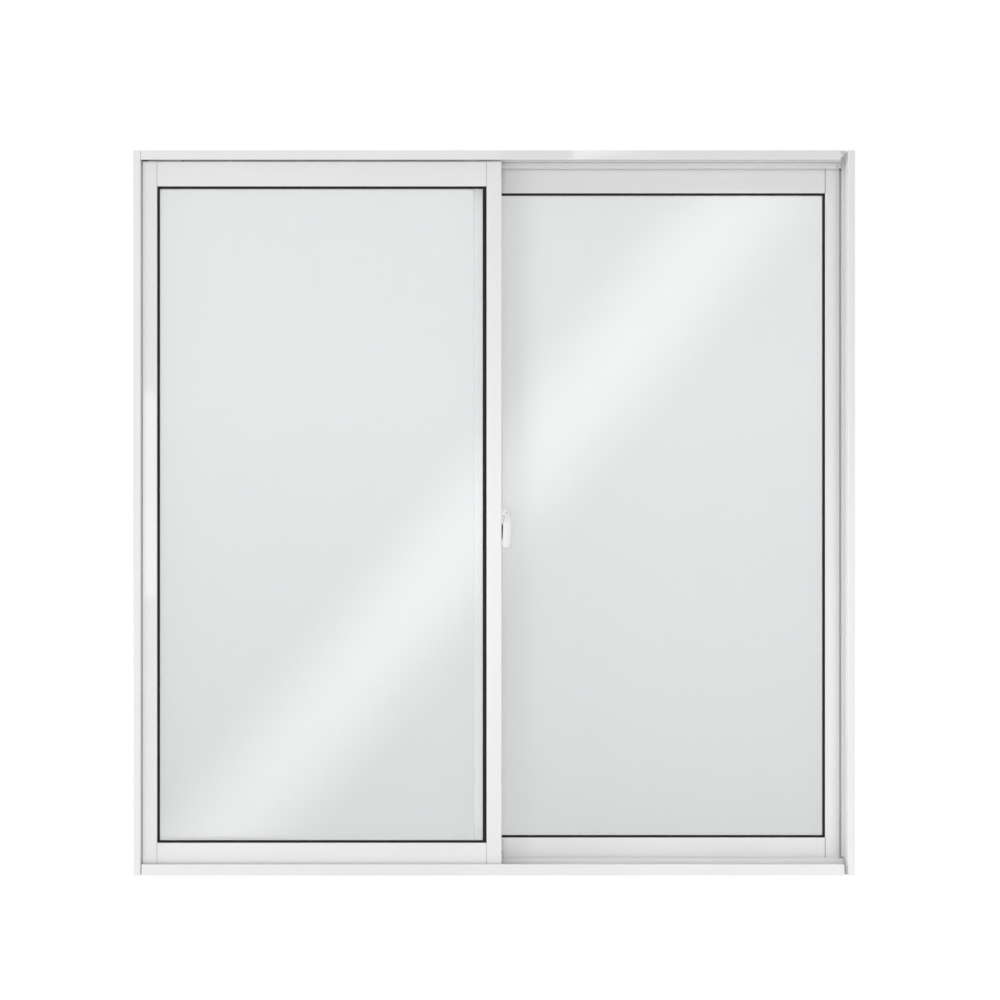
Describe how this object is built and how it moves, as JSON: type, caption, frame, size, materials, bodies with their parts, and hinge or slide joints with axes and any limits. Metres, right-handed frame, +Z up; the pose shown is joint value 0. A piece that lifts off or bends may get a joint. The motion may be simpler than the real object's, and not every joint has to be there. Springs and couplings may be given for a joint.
{
  "type": "two-leaf sliding window",
  "caption": "White powder-coated aluminium sliding window: outer frame with tracks and two glazed sashes with a latch on the meeting stile.",
  "frame": {"origin": "middle of the underside of the sill, halfway through the frame's depth", "axes": "+X to the right as seen from the room, +Y outwards through the wall, +Z up"},
  "size_m": [1.2, 0.075, 1.206],
  "materials": {
    "white_aluminium": "gloss",
    "glass": "gloss",
    "gasket_rubber": "matte",
    "brush_pile": "matte",
    "roller_nylon": "satin",
    "carriage_plastic": "satin",
    "axle_steel": "satin",
    "guide_plastic": "satin",
    "latch_steel": "satin",
    "latch_enamel": "gloss"
  },
  "bodies": {
    "root": {"front_sash_bottom_rail": "white_aluminium", "front_sash_glass": "glass", "front_sash_glazing_gasket": "gasket_rubber", "front_sash_left_top_guide": "guide_plastic", "front_sash_meeting_brush": "brush_pile", "front_sash_meeting_stile": "white_aluminium", "front_sash_outer_stile": "white_aluminium", "front_sash_right_top_guide": "guide_plastic", "front_sash_roller_axles": "axle_steel", "front_sash_roller_carriages": "carriage_plastic", "front_sash_roller_wheels": "roller_nylon", "front_sash_side_brush": "brush_pile", "front_sash_top_rail": "white_aluminium", "head_track": "white_aluminium", "latch_base": "latch_enamel", "latch_hook": "latch_steel", "latch_keeper": "latch_steel", "latch_lever": "latch_enamel", "latch_pivot_pin": "latch_steel", "left_jamb": "white_aluminium", "rear_sash_bottom_rail": "white_aluminium", "rear_sash_glass": "glass", "rear_sash_glazing_gasket": "gasket_rubber", "rear_sash_left_top_guide": "guide_plastic", "rear_sash_meeting_brush": "brush_pile", "rear_sash_meeting_stile": "white_aluminium", "rear_sash_outer_stile": "white_aluminium", "rear_sash_right_top_guide": "guide_plastic", "rear_sash_roller_axles": "axle_steel", "rear_sash_roller_carriages": "carriage_plastic", "rear_sash_roller_wheels": "roller_nylon", "rear_sash_side_brush": "brush_pile", "rear_sash_top_rail": "white_aluminium", "right_jamb": "white_aluminium", "sill_track": "white_aluminium"}
  },
  "joints": []
}
